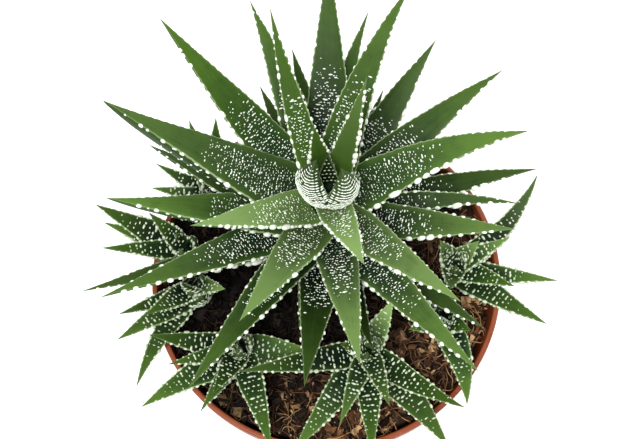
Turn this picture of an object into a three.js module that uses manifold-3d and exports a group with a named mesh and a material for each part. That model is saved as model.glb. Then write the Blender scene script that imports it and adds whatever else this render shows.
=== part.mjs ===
// Potted haworthia: a rosette of stiff, white-banded leaves with seven offsets round it,
// in bark soil in a thin plastic nursery pot.
// Millimetres and degrees, +Z up. The origin is the middle of the flat underside of the pot.
import * as THREE from "three";
import { mergeVertices } from "three/addons/utils/BufferGeometryUtils.js";
import Module from "manifold-3d";

const wasm = await Module();
wasm.setup();

// Driving dimensions of the pot
const RIM_HEIGHT = 88;
const RIM_RADIUS = 52.5;
const RIM_BAND = 9;
const RIM_STEP = 1.8;
const RIM_WALL = 1.6;
const RIM_ROUND = 0.6;
const BASE_RADIUS = 35;
const BASE_ROUND = 1.2;
const WALL = 1.5;
const FLOOR = 2.2;
const SIDES = 40;
const DRAIN_HOLES = 6;
const DRAIN_RADIUS = 3.2;
const DRAIN_CIRCLE = 24;
const DRAIN_SIDES = 10;

// Driving dimensions of the soil, which is banked up against the pot's wall, and the gap kept
// where one piece lies against another
const GAP = 0.3;
const SOIL_DROP = 6.2;
const SOIL_BUMP = 0.8;
const SOIL_LUMP = 21;
const SOIL_RINGS = 8;
const SOIL_BANK = 2.2;
const BANK_FOOT = 36;
const BANK_TOP = 46;

// Driving shape of a leaf: thickness and crown against width, where the shoulders of the keel
// lie, where the sharp tip begins, and how far teeth and ridges stand out of the surface
const THICKNESS = 0.3;
const CROWN = 0.05;
const SHOULDER_OUT = 0.58;
const SHOULDER_DOWN = 0.72;
const TIP_START = 0.94;
const TOOTH = 0.7;
const BAND = 0.45;
const MAIN_STATIONS = 14;
const OFFSET_STATIONS = 8;

// Leaves of the big rosette, from the oldest to the youngest. Each row holds the heading,
// the rise above level, the length, the width, how much the rise and the heading change
// from root to tip, the twist at the tip, the height of the root above the rim,
// how far the root stands off the stem's axis and, for a plump leaf, how much thicker it is.
const MAIN_AXIS = [0.5, 15];
const MAIN_LEAVES = [
  [228, 8, 36, 14, 0, 0, 0, 1, 0],
  [255, 9, 34, 14, 0, 0, 0, 1, 0],
  [11, 16, 66, 13.5, -8, -16, 0, 2, 0],
  [68, 10, 47, 9, 0, 0, 0, 2, 0],
  [116, 10, 49, 12, 0, 0, 0, 3, 0],
  [199, 10, 77, 12, 0, 0, 0, 3, 0],
  [287, 14, 46, 11, 0, 0, 0, 4, 0],
  [132, 12, 60, 12, 0, 0, 0, 4, 0],
  [359, 18, 59, 8.5, 0, -32, 30, 7, 0],
  [102, 14, 55, 13, 0, 8, 0, 6, 0],
  [57, 22, 64, 15, 0, -8, 0, 6, 0],
  [319, 18, 61, 13, 0, 0, 0, 6, 0],
  [263, 20, 59, 15, 0, 0, 0, 6, 0],
  [78, 24, 65, 11, 0, -24, 20, 7, 0],
  [161, 16, 58, 15, 0, -12, 30, 8, 0],
  [237, 22, 75, 14, -4, 6, 0, 9, 0],
  [36, 22, 68, 15.5, -6, -12, 0, 10, 0],
  [307, 22, 72, 14, 0, 0, 0, 10, 0],
  [347, 24, 59, 14, 0, 0, 0, 11, 0],
  [112, 25, 68, 14, -6, 6, 0, 12, 0],
  [208, 20, 75, 14.5, -6, 0, 18, 13, 0],
  [90, 32, 75, 16.5, 0, 0, 0, 14, 0],
  [279, 26, 59, 14, 0, 0, 0, 14, 0],
  [184, 22, 67, 16.5, -4, -8, 26, 14, 0, 1.4],
  [137, 30, 75, 16, -6, -3, 12, 16, 0, 1.4],
  [12.3, 28, 65, 15.5, -8, -28, 0, 18, 0],
  [164, 30, 74, 20, -8, -6, 36, 19, 0, 1.5],
  [312, 32, 61, 13.5, 0, 0, 0, 20, 0],
  [242, 34, 60, 14.5, 0, 0, 0, 20, 0],
  [65, 40, 70, 13, -6, -28, 0, 21, 0],
  [204, 34, 49, 13.5, 0, 0, 16, 23, 0],
  [111, 42, 61, 9.5, -4, -14, -25, 23, 0],
  [288, 40, 39, 11, 0, 0, 0, 28, 0],
  [63, 64, 44, 9, 0, 0, -30, 27, 3],
  [109, 68, 27, 9, 0, 0, 0, 27, 3],
  [214, 84, 27, 15, 50, 0, 30, 36, 1.2, 1.1],
  [318, 82, 22, 14.5, 56, 0, -26, 36.5, 1.2, 1.2],
  [95, 70, 17.5, 7.5, 12, 0, 0, 32, -1],
];

// Offsets round the stem: the place of each one's own stem, and its leaves in like rows
const OFFSETS = {
  offset_back_left: {
    axis: [-34, 25],
    leaves: [
      [154, 16, 21, 6, 0, 0, 0, 2, 0],
      [180, 25, 21, 6, 0, 0, 0, 1, 0],
      [111, 35, 25, 8, 0, 0, 0, 3, 0],
      [88, 35, 25, 8, 0, 0, 0, 2, 0],
      [240, 70, 14, 7, 0, 0, 0, 4, 0],
    ],
  },
  offset_left: {
    axis: [-42, 7],
    leaves: [
      [159, 25, 31, 10, 0, 0, 0, 4, 0],
      [165, 20, 27, 8, 0, 0, 0, 2, 0],
      [152, 60, 21, 7, 0, 0, 0, 6, 0],
      [189, 28, 27, 7, 0, 0, 0, 5, 0],
      [212, 20, 13, 9, 0, 0, 0, 1, 0],
    ],
  },
  offset_front_left: {
    axis: [-39, -5],
    leaves: [
      [212, 35, 29, 7, 0, 0, 0, 4, 0],
      [229, 45, 26, 8, 0, 0, 0, 6, 0],
      [221, 25, 31, 9, 0, 0, 0, 1, 0],
      [332, 50, 18, 7, 0, 0, 0, 8, 0],
      [242, 7, 35, 8, -14, 24, 0, 1, 0],
      [251, 75, 20, 7, 0, 0, 0, 6, 0],
      [296, 72, 22, 10, 0, 0, 0, 2, 2],
    ],
  },
  offset_front: {
    axis: [-25, -23],
    leaves: [
      [177, 24, 29, 9, 0, 0, 0, 2, 0],
      [214, 14, 35, 11, -8, 8, 0, 1, 0],
      [243, 25, 26, 7, 0, 0, 0, 2, 0],
      [202, 30, 25, 7, 0, 0, 0, 4, 0],
      [287, 14, 34, 9, -12, 0, 0, 1, 0],
      [214, 78, 13, 7, 0, 0, 0, 6, 0],
      [248, 40, 24, 8, 0, 0, 0, 3, 0],
      [356, 13, 22, 11, 0, 0, 0, 1, 0],
    ],
  },
  offset_front_right: {
    axis: [12, -24],
    leaves: [
      [194, 20, 41, 9, 0, 0, 0, 3, 0],
      [236, 20, 42, 10, 0, 0, 0, 2, 0],
      [251, 28, 30, 7, 0, 0, 0, 5, 0],
      [271, 18, 35, 9, 0, 0, 0, 2, 0],
      [285, 36, 26, 7, 0, 0, 0, 6, 0],
      [307, 14, 39, 12, -6, -14, 0, 1, 0],
      [324, 22, 36, 9, 0, 14, 0, 3, 0],
      [59, 42, 19, 8, 0, 0, 0, 5, 0],
      [329, 20, 18, 7, 0, 0, 0, 1, 0],
      [195, 60, 17, 8, 0, 0, 0, 5, 0],
    ],
  },
  offset_right_small: {
    axis: [34, -14],
    leaves: [
      [243, 74, 16, 6, 0, 0, 0, 4, 0],
      [281, 20, 31, 10, 0, -30, 0, 3, 0],
      [202, 25, 12, 7, 0, 0, 0, 1, 0],
      [328, 30, 11, 8, 0, 0, 0, 3, 0],
    ],
  },
  offset_right: {
    axis: [38, 2],
    leaves: [
      [44, 26, 38, 8, 0, 45, 0, 5, 0],
      [18, 35, 20, 7, 0, 0, 0, 5, 0],
      [349, 14, 32, 8, 0, 0, 0, 1, 0],
      [330, 30, 22, 8, 0, 0, 0, 4, 0],
      [321, 20, 35, 9.5, 0, 6, 0, 2, 0],
      [257, 50, 19, 8, 0, 0, 0, 5, 0],
      [140, 60, 13, 8, 0, 0, 0, 5, 0],
      [35, 50, 13, 8, 0, 0, 0, 4, 0],
    ],
  },
};

// Stems: the thick one in the middle and the slim one of each offset. Top and tip are heights
// above the rim, and the depth is how far below the rim each stem stands in the soil. The soil's
// hole for a stem is wider than the gap by the ease, because a round thing is built with flat sides.
const MAIN_STEM = { radius: 6, top: 26, tip: 40 };
const OFFSET_STEM = { radius: 3, top: 3, tip: 9 };
const STEM_DEPTH = 18;
const STEM_SIDES = 12;
const HOLE_EASE = 0.1;

const radians = THREE.MathUtils.degToRad;

// A closed mesh as a solid that can be joined and cut
function solidFrom(geometry) {
  const bare = geometry.clone();
  bare.deleteAttribute("normal");
  bare.deleteAttribute("uv");
  const merged = mergeVertices(bare, 1e-4);
  const index = Array.from(merged.index.array);
  const corners = [];
  for (let i = 0; i < index.length; i += 3) {
    const [a, b, c] = index.slice(i, i + 3);
    if (a !== b && b !== c && c !== a) corners.push(a, b, c);
  }
  const vertProperties = new Float32Array(merged.attributes.position.array);
  const triVerts = new Uint32Array(corners);
  return new wasm.Manifold(new wasm.Mesh({ numProp: 3, vertProperties, triVerts }));
}

function geometryFrom(solid) {
  const mesh = solid.getMesh();
  const geometry = new THREE.BufferGeometry();
  geometry.setAttribute("position", new THREE.BufferAttribute(mesh.vertProperties, 3));
  geometry.setIndex(new THREE.BufferAttribute(mesh.triVerts, 1));
  geometry.computeVertexNormals();
  return geometry;
}

function join(solids) {
  return solids.reduce((whole, next) => whole.add(next));
}

// A solid turned about the upright axis through x, y, from a profile of radius and height
function turned(profile, sides, x = 0, y = 0) {
  const points = profile.map(([radius, height]) => new THREE.Vector2(radius, height));
  const geometry = new THREE.LatheGeometry(points, sides);
  geometry.rotateX(Math.PI / 2);
  geometry.translate(x, y, 0);
  return geometry;
}

// Outer radius of the pot's wall below the rim band, at a height above the ground
function wallRadius(height) {
  const under = RIM_HEIGHT - RIM_BAND;
  return BASE_RADIUS + (RIM_RADIUS - RIM_STEP - BASE_RADIUS) * Math.min(height / under, 1);
}

// Thin wall with a flat floor, a stepped band round the rim, and drain holes in the floor
function potGeometry() {
  const under = RIM_HEIGHT - RIM_BAND;
  const inner = RIM_RADIUS - RIM_WALL;
  const shell = solidFrom(turned([
    [0, 0],
    [BASE_RADIUS - BASE_ROUND, 0],
    [wallRadius(BASE_ROUND), BASE_ROUND],
    [wallRadius(under), under],
    [RIM_RADIUS - RIM_ROUND, under + RIM_ROUND],
    [RIM_RADIUS, RIM_HEIGHT - RIM_ROUND],
    [RIM_RADIUS - RIM_ROUND, RIM_HEIGHT],
    [inner + RIM_ROUND / 2, RIM_HEIGHT],
    [inner, RIM_HEIGHT - RIM_ROUND],
    [wallRadius(under) - WALL, under - RIM_ROUND],
    [wallRadius(FLOOR) - WALL, FLOOR],
    [0, FLOOR],
  ], SIDES));
  const holes = [];
  for (let i = 0; i < DRAIN_HOLES; i += 1) {
    const angle = (i / DRAIN_HOLES) * 2 * Math.PI;
    const x = DRAIN_CIRCLE * Math.cos(angle);
    const y = DRAIN_CIRCLE * Math.sin(angle);
    const drill = [[0, -1], [DRAIN_RADIUS, -1], [DRAIN_RADIUS, FLOOR + 1], [0, FLOOR + 1]];
    holes.push(solidFrom(turned(drill, DRAIN_SIDES, x, y)));
  }
  return geometryFrom(shell.subtract(join(holes)));
}

// Loose bark soil: a lumpy top, banked up at the wall, and a plain hole for every stem
function soilHeight(x, y) {
  const turn = (2 * Math.PI) / SOIL_LUMP;
  const broad = Math.sin(turn * x + 1) * Math.cos(turn * y);
  const fine = Math.sin(turn * (0.6 * x - 1.4 * y));
  const bank = SOIL_BANK * THREE.MathUtils.smoothstep(Math.hypot(x, y), BANK_FOOT, BANK_TOP);
  return RIM_HEIGHT - SOIL_DROP + bank + SOIL_BUMP * (0.6 * broad + 0.4 * fine);
}

function soilGeometry() {
  const bottom = FLOOR + GAP;
  const under = RIM_HEIGHT - RIM_BAND - RIM_ROUND;
  const top = RIM_HEIGHT - SOIL_DROP;
  const edge = wallRadius(under) - WALL - GAP;
  const profile = [
    [0, bottom],
    [wallRadius(bottom) - WALL - GAP, bottom],
    [edge, under],
    [edge, top],
  ];
  for (let ring = SOIL_RINGS - 1; ring >= 0; ring -= 1) {
    profile.push([(edge * ring) / SOIL_RINGS, top]);
  }
  const heap = turned(profile, SIDES);
  const corners = heap.attributes.position;
  for (let i = 0; i < corners.count; i += 1) {
    if (corners.getZ(i) > top - GAP) corners.setZ(i, soilHeight(corners.getX(i), corners.getY(i)));
  }
  const holes = [stemHole(MAIN_AXIS, MAIN_STEM.radius)];
  for (const { axis } of Object.values(OFFSETS)) holes.push(stemHole(axis, OFFSET_STEM.radius));
  return geometryFrom(solidFrom(heap).subtract(join(holes)));
}

function stemHole([x, y], radius) {
  const low = RIM_HEIGHT - STEM_DEPTH - GAP;
  const wide = radius + GAP + HOLE_EASE;
  return solidFrom(turned([[0, low], [wide, low], [wide, RIM_HEIGHT], [0, RIM_HEIGHT]], STEM_SIDES, x, y));
}

function stemSolid([x, y], { radius, top, tip }) {
  const profile = [
    [0, RIM_HEIGHT - STEM_DEPTH],
    [radius, RIM_HEIGHT - STEM_DEPTH],
    [radius, RIM_HEIGHT + top],
    [0, RIM_HEIGHT + tip],
  ];
  return solidFrom(turned(profile, STEM_SIDES, x, y));
}

// Share of a leaf's full width at t, from 0 at the root to 1 at the sharp tip
function taper(t) {
  const ease = THREE.MathUtils.smoothstep(t, 0, 0.25);
  return (1 - t ** 1.8) ** 1.15 * (0.8 + 0.2 * ease);
}

// Share of a leaf's full thickness at t
function thinning(t) {
  return (1 - t ** 2.2) ** 0.8;
}

// One leaf: nearly flat above, keeled below, with toothed edges and ridges across its back.
// Its sections are six-sided, and every second one stands out to make the teeth and ridges.
function leafSolid(row, [x, y], stations) {
  const [heading, rise, length, width, bow, sweep, twist, foot, out, plump = 1] = row;
  const start = radians(heading);
  const middle = new THREE.Vector3(
    x + out * Math.cos(start), y + out * Math.sin(start), RIM_HEIGHT + foot);
  const positions = [];
  const section = (t, k) => {
    const up = radians(rise + bow * (t - 0.5));
    const way = radians(heading + sweep * (t - 0.5));
    const roll = radians(twist) * t;
    const side = new THREE.Vector3(-Math.sin(way), Math.cos(way), 0);
    const above = new THREE.Vector3(
      -Math.sin(up) * Math.cos(way), -Math.sin(up) * Math.sin(way), Math.cos(up));
    const across = side.clone().multiplyScalar(Math.cos(roll))
      .addScaledVector(above, Math.sin(roll));
    const over = above.clone().multiplyScalar(Math.cos(roll))
      .addScaledVector(side, -Math.sin(roll));
    const proud = k % 2;
    const half = (width / 2) * taper(t);
    const edge = half + TOOTH * proud * Math.min(1, half / 2);
    const deep = THICKNESS * plump * width * thinning(t) + BAND * proud;
    const outline = [
      [edge, 0],
      [0, CROWN * width * taper(t)],
      [-edge, 0],
      [-SHOULDER_OUT * half, -SHOULDER_DOWN * deep],
      [0, -deep],
      [SHOULDER_OUT * half, -SHOULDER_DOWN * deep],
    ];
    for (const [u, v] of outline) {
      const point = middle.clone().addScaledVector(across, u).addScaledVector(over, v);
      positions.push(point.x, point.y, point.z);
    }
  };
  const advance = (from, to) => {
    const t = (from + to) / 2;
    const up = radians(rise + bow * (t - 0.5));
    const way = radians(heading + sweep * (t - 0.5));
    middle.x += length * (to - from) * Math.cos(up) * Math.cos(way);
    middle.y += length * (to - from) * Math.cos(up) * Math.sin(way);
    middle.z += length * (to - from) * Math.sin(up);
  };
  const step = TIP_START / (stations - 1);
  for (let k = 0; k < stations; k += 1) {
    if (k > 0) advance(step * (k - 1), step * k);
    section(step * k, k);
  }
  advance(TIP_START, 1);
  positions.push(middle.x, middle.y, middle.z);

  const faces = [];
  const sides = 6;
  for (let k = 0; k < stations - 1; k += 1) {
    for (let i = 0; i < sides; i += 1) {
      const a = k * sides + i;
      const b = k * sides + ((i + 1) % sides);
      faces.push(a, b, b + sides, a, b + sides, a + sides);
    }
  }
  const tipVertex = stations * sides;
  const end = (stations - 1) * sides;
  for (let i = 0; i < sides; i += 1) faces.push(end + i, end + ((i + 1) % sides), tipVertex);
  for (let i = 1; i < sides - 1; i += 1) faces.push(0, i + 1, i);

  const geometry = new THREE.BufferGeometry();
  geometry.setAttribute("position", new THREE.Float32BufferAttribute(positions, 3));
  geometry.setIndex(faces);
  return solidFrom(geometry);
}

function rosetteGeometry(axis, leaves, stem, stations) {
  const solids = leaves.map((row) => leafSolid(row, axis, stations));
  return geometryFrom(join([stemSolid(axis, stem), ...solids]));
}

const materials = {
  pot: new THREE.MeshStandardMaterial({ color: 0xb8614a, roughness: 0.5, metalness: 0 }),
  soil: new THREE.MeshStandardMaterial({ color: 0x3f281c, roughness: 0.95, metalness: 0 }),
  leaf: new THREE.MeshStandardMaterial({ color: 0x4f7440, roughness: 0.5, metalness: 0 }),
};

const group = new THREE.Group();

function place(name, geometry, material) {
  const mesh = new THREE.Mesh(geometry, material.clone());
  mesh.name = name;
  group.add(mesh);
}

place("pot", potGeometry(), materials.pot);
place("soil", soilGeometry(), materials.soil);
place("main_rosette", rosetteGeometry(MAIN_AXIS, MAIN_LEAVES, MAIN_STEM, MAIN_STATIONS), materials.leaf);
for (const [name, { axis, leaves }] of Object.entries(OFFSETS)) {
  place(name, rosetteGeometry(axis, leaves, OFFSET_STEM, OFFSET_STATIONS), materials.leaf);
}

export default group;
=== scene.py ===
# %% [markdown]
# A potted haworthia, in cells: one big rosette of stiff pointed leaves with raised white dots,
# teeth and bands, seven small offsets, dark bark soil and a thin terracotta-coloured plastic pot.
# The CAD solids are the fixed frame. This file puts a finer skin in the place of each and leaves
# their sizes alone. The first cell loads the frame and keeps its box.

# %% Load the frame
import math
import bmesh
import bpy
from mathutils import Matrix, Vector, noise
from types import SimpleNamespace


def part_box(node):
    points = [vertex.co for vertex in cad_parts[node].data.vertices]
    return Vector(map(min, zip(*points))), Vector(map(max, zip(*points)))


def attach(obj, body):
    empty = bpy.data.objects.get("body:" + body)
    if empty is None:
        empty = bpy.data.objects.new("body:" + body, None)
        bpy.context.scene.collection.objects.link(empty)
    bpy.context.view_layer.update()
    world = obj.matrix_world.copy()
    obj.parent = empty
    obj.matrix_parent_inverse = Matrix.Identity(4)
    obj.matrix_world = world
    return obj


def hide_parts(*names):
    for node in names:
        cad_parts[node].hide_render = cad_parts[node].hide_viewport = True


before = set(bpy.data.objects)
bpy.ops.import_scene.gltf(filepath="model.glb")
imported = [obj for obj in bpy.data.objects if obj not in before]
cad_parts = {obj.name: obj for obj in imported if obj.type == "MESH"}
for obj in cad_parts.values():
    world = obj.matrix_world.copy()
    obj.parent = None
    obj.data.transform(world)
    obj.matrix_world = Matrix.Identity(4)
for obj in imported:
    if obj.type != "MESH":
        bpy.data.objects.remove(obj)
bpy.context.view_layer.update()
MM = 0.001
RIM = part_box("pot")[1][2] / MM
print("frame nodes", sorted(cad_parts), "rim at", round(RIM, 2), "mm")

# %% [markdown]
# The camera comes first, because everything else is judged through it. The picture was taken from
# above and a little in front, so the pot's round rim shows as an ellipse. This tilt, distance and
# lens give that ellipse.

# %% Camera
EYE = Vector((-1.92, -125.9, 488.7)) * MM
LEAN = math.radians(19.80)
LENS = 78.4


def placed(data, name=None):
    """An object that holds this data, linked into the scene."""
    piece = bpy.data.objects.new(name or data.name, data)
    bpy.context.scene.collection.objects.link(piece)
    return piece


lens_data = bpy.data.cameras.new("camera")
lens_data.lens = LENS
lens_data.sensor_width = 36.0
lens_data.clip_start = 0.01
camera = placed(lens_data)
camera.location = EYE
camera.rotation_euler = (LEAN, 0.0, 0.0)
bpy.context.scene.camera = camera
print("camera", [round(c, 3) for c in EYE], "m, lens", LENS, "mm")

# %% [markdown]
# Nodes are easier to read as sums. Wire wraps one output of a node and turns Python's own
# operators into Math nodes, so 1 - mask works as it looks. Bench adds any other node from its
# type, its settings, which are set first, and the values or wires of its sockets, with _ for a
# space in a name. A type without Node in it gets the bench's own prefix.


# %% Wires and the bench
def pick(sockets, name):
    return next(s for s in sockets if s.name == name and s.enabled)


def plug(socket, value):
    if isinstance(value, Wire):
        socket.id_data.links.new(value.socket, socket)
    elif socket.type == "RGBA" and len(value) == 3:
        socket.default_value = (*value, 1.0)
    else:
        socket.default_value = value


def fill(node, *values):
    """Values or wires for the first sockets of a node, in their order."""
    for socket, value in zip(node.inputs, values):
        plug(socket, value)
    return Wire(node.outputs[0])


def operator(operation, flipped=False):
    """A Python operator or method that adds one Math node."""
    def act(self, *others):
        if flipped:
            return self.maths(operation, first=others[0])
        return self.maths(operation, *others)
    return act


class Wire:
    """One output of a node, so that maths on it reads as plain Python."""

    def __init__(self, socket):
        self.socket = socket

    def out(self, name):
        return Wire(pick(self.socket.node.outputs, name))

    def maths(self, operation, *others, first=None):
        node = self.socket.id_data.nodes.new("ShaderNodeMath")
        node.operation = operation
        return fill(node, self, *others) if first is None else fill(node, first, self)

    __add__ = __radd__ = operator("ADD")
    __mul__ = __rmul__ = operator("MULTIPLY")
    __sub__ = operator("SUBTRACT")
    __rsub__ = operator("SUBTRACT", flipped=True)
    __truediv__ = operator("DIVIDE")
    __rtruediv__ = operator("DIVIDE", flipped=True)
    __pow__ = operator("POWER")
    least = operator("MINIMUM")
    most = operator("MAXIMUM")
    over = operator("GREATER_THAN")
    under = operator("LESS_THAN")
    __abs__ = operator("ABSOLUTE")
    sin = operator("SINE")
    cos = operator("COSINE")

    def __neg__(self):
        return self * -1.0

    def smooth(self, low, high, start=0.0, end=1.0):
        """A soft step: start below low, end above high."""
        node = self.socket.id_data.nodes.new("ShaderNodeMapRange")
        node.interpolation_type = "SMOOTHSTEP"
        return fill(node, self, low, high, start, end)


class Bench:
    """The place where one tree of nodes is put together."""

    prefix = "ShaderNode"

    def __init__(self, tree):
        self.tree = tree

    def node(self, kind, settings=None, **sockets):
        made = self.tree.nodes.new(kind if "Node" in kind else self.prefix + kind)
        for name, value in (settings or {}).items():
            if name == "stops":
                ramp = made.color_ramp
                while len(ramp.elements) < len(value):
                    ramp.elements.new(0.5)
                for element, (place, colour) in zip(ramp.elements, value):
                    element.position = place
                    element.color = (*colour, 1.0)
            else:
                setattr(made, name, value)
        for name, value in sockets.items():
            plug(pick(made.inputs, name.replace("_", " ")), value)
        return Wire(made.outputs[0]) if len(made.outputs) else None

    def vector(self, operation, *values):
        made = self.node("ShaderNodeVectorMath", {"operation": operation})
        return fill(made.socket.node, *values)

    def scaled(self, vector, size):
        return self.node("ShaderNodeVectorMath", {"operation": "SCALE"}, Vector=vector, Scale=size)

    def point(self, x, y, z):
        return self.node("ShaderNodeCombineXYZ", X=x, Y=y, Z=z)

    def parts(self, vector):
        made = self.node("ShaderNodeSeparateXYZ", Vector=vector)
        return made.out("X"), made.out("Y"), made.out("Z")

    def mix(self, factor, a, b, blend="MIX"):
        settings = {"data_type": "RGBA", "blend_type": blend}
        return self.node("ShaderNodeMix", settings, Factor=factor, A=a, B=b).out("Result")

    def grain(self, where, size, detail=3.0, roughness=0.55, distortion=0.0):
        return self.node("ShaderNodeTexNoise", Vector=where, Scale=size, Detail=detail,
                         Roughness=roughness, Distortion=distortion)


print("wires and bench ready")

# %% [markdown]
# Every material starts the same way: a Principled shader whose steady numbers sit on its own
# sockets, and a bench to feed the few that vary. Grain uses Object coordinates, and the pieces sit
# at the origin, so it has one scale in metres on all of them.


# %% Starting a material
def start_material(name, **steady):
    material = bpy.data.materials.new(name)
    material.use_nodes = True
    tree = material.node_tree
    shader = next(n for n in tree.nodes if n.type == "BSDF_PRINCIPLED")
    for socket_name, value in steady.items():
        shader.inputs[socket_name.replace("_", " ")].default_value = value
    bench = Bench(tree)
    place = bench.node("TexCoord").out("Object")
    return material, bench, shader.inputs, place


def measure(bench, *names):
    """Numbers stored on the mesh under these names."""
    wires = [bench.node("Attribute", {"attribute_name": n}).out("Fac") for n in names]
    return wires if len(wires) > 1 else wires[0]


def bumped(bench, height, strength, distance):
    return bench.node("Bump", Strength=strength, Distance=distance, Height=height)


def dress(face, colour, roughness, normal=None):
    """Feed the sockets that vary over the surface."""
    plug(face["Base Color"], colour)
    plug(face["Roughness"], roughness)
    if normal:
        plug(face["Normal"], normal)


# %% [markdown]
# The leaf skin is waxy: mid green on the blade, yellow-green at the tip, and nearly blue-black in
# the patch where the dots stand, which is paler on young leaves; that near-black is the leaf's own
# dark green deepened with painted shade. A thin pale line follows both edges, and some tips are
# dried brown. The keel side is darker as painted shade, and each leaf's green is multiplied by its
# lit number: painted shade on the old low leaves and painted light on some others. The mesh
# carries
# where each point lies: along (0 at the root, 1 at the tip), across (-1 to 1 between the edges),
# upper (above 0 on the flat side, below it on the keel), margin (millimetres from the edge) and
# number, which grows with the leaf's youth. The shader reads those, so the colours follow each
# leaf.

# %% Leaf skin
leaf_skin, bench, face, place = start_material(
    "leaf_skin", IOR=1.45, Specular_IOR_Level=0.12, Subsurface_Weight=0.03,
    Subsurface_Scale=0.002, Subsurface_Radius=(0.6, 1.0, 0.3))
along, across, upper, margin, tone, lit, dry, number = measure(
    bench, "along", "across", "upper", "margin", "tone", "lit", "dry", "number")
edge = abs(across)
streak_place = bench.point(across * 7.0, along * 2.4, number * 3.7)
streak = bench.grain(streak_place, 1.0, 3.0)
mottle = bench.grain(place, 260.0, 4.0, 0.6)
wave = (mottle - 0.5) * 0.5 + (streak - 0.5) * 0.35
reach = along + wave * 0.35
green = bench.mix(reach.smooth(0.3, 1.0), (0.029, 0.068, 0.007), (0.04, 0.088, 0.008))
fresh = number.smooth(24.0, 33.0) * reach.smooth(0.7, 0.0)
green = bench.mix(fresh * 0.8, green, (0.058, 0.125, 0.008))
green = bench.mix(tone * reach.smooth(0.0, 0.75, 0.5, 1.0), green, (0.26, 0.4, 0.13))
green = bench.mix(wave.smooth(0.0, 0.3) * 0.55, green, (0.07, 0.135, 0.02))
green = bench.mix(wave.smooth(0.0, -0.3) * 0.55, green, (0.01, 0.028, 0.008))
# Painted shade: a nearly black patch toward the root, over the leaf's own dark green, weaker on
# young leaves.
dark_patch_and_shade = reach.smooth(0.88, 0.25) * edge.smooth(1.05, 0.45, 0.35, 1.0)
dark_patch_and_shade = dark_patch_and_shade * number.smooth(20.0, 27.0, 0.95, 0.68) * number.smooth(27.0, 31.0, 1.0, 0.3)
green = bench.mix(dark_patch_and_shade, green, (0.003, 0.01, 0.006))
# Painted shade or painted light: the green is multiplied by each leaf's lit number.
green = bench.mix(1.0, green, lit, "MULTIPLY")
# Painted shade on the keel side: the underside gets a darker copy of the green.
shaded = bench.mix(0.55, green, (0.006, 0.02, 0.008))
green = bench.mix(upper.smooth(-0.1, 0.15), shaded, green)
keel = edge.smooth(0.1, 0.0) * upper.under(-0.5) * along.smooth(0.5, 0.8)
rim_line = margin.smooth(0.42, 0.2) * along.smooth(0.03, 0.15)
rim_line = rim_line * along.smooth(0.95, 0.5, 0.15, 1.0) * upper.smooth(-0.12, -0.03)
green = bench.mix((rim_line * 0.5).most(keel * 0.3), green, (0.46, 0.56, 0.32))
burnt = (along + wave * 0.06).smooth(1.0 - dry, 1.02 - dry * 0.8)
green = bench.mix(burnt, green, (0.17, 0.095, 0.045))
fine = bench.grain(place, 1400.0, 2.0)
dress(face, green, 0.45 + wave * 0.25 + burnt * 0.3,
      bumped(bench, fine * 0.4 + streak * 0.6, 0.22, 0.4 * MM))
print("leaf skin:", len(leaf_skin.node_tree.nodes), "nodes")

# %% [markdown]
# The white marks are raised cushions of skin, so they are modelled as small beads, not painted.
# They are a chalky, slightly greenish white, greener on the young offsets, and a little grain
# keeps thousands of beads from looking moulded.


# %% White of the beads
def chalky(name, low, high):
    material, bench, face, place = start_material(
        name, IOR=1.45, Subsurface_Weight=0.05, Subsurface_Scale=0.001)
    speck = bench.grain(place, 900.0, 2.0)
    dress(face, bench.mix(speck.smooth(0.3, 0.6), low, high), 0.42 + speck * 0.2,
          bumped(bench, speck, 0.15, 0.2 * MM))
    return material


pearl_white = chalky("pearl_white", (0.6, 0.68, 0.51), (0.86, 0.89, 0.8))
pearl_green = chalky("pearl_green", (0.34, 0.43, 0.26), (0.6, 0.66, 0.5))
print("bead white:", len(pearl_white.node_tree.nodes), "nodes")

# %% [markdown]
# Four more finishes: the pot's moulded plastic, with a soft sheen, a chalky bloom and fine scuffs;
# the dark peat; the bark chips, each with its own shade from black to straw; and the dry fibres.

# %% Pot plastic
pot_plastic, bench, face, place = start_material("pot_plastic", IOR=1.46, Specular_IOR_Level=0.3)
bloom = bench.grain(place, 45.0, 4.0, 0.6)
scuff = bench.grain(bench.vector("MULTIPLY", place, (260.0, 260.0, 30.0)), 1.0, 3.0)
clay = bench.mix(bloom.smooth(0.35, 0.7), (0.205, 0.044, 0.013), (0.26, 0.062, 0.022))
clay = bench.mix(scuff.smooth(0.55, 0.75) * 0.25, clay, (0.36, 0.12, 0.06))
dress(face, clay, 0.36 + bloom * 0.22, bumped(bench, scuff * 0.5 + bloom * 0.5, 0.12, 0.6 * MM))
print("pot plastic:", len(pot_plastic.node_tree.nodes), "nodes")

# %% Peat, bark and fibre
def painted_soil_shade_and_light(bench, colour, place):
    """Painted shade and light: the soil is nearly black under the leaves and paler at the front
    right.
    """
    x, y, _ = bench.parts(place)
    away = (x * x + y * y) ** 0.5
    painted_front_light = (x * 0.75 - y * 0.65).smooth(-0.01, 0.045, 0.09, 1.25)
    return bench.mix(1.0, colour, away.smooth(0.022, 0.042, 0.25, 1.0) * painted_front_light, "MULTIPLY")


peat, bench, face, place = start_material("peat", IOR=1.4, Specular_IOR_Level=0.2)
crumb = bench.grain(place, 330.0, 5.0, 0.65)
earth = bench.mix(crumb.smooth(0.35, 0.7), (0.008, 0.005, 0.004), (0.05, 0.026, 0.016))
dress(face, painted_soil_shade_and_light(bench, earth, place), 0.75 + crumb * 0.25, bumped(bench, crumb, 0.8, 1.2 * MM))

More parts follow.
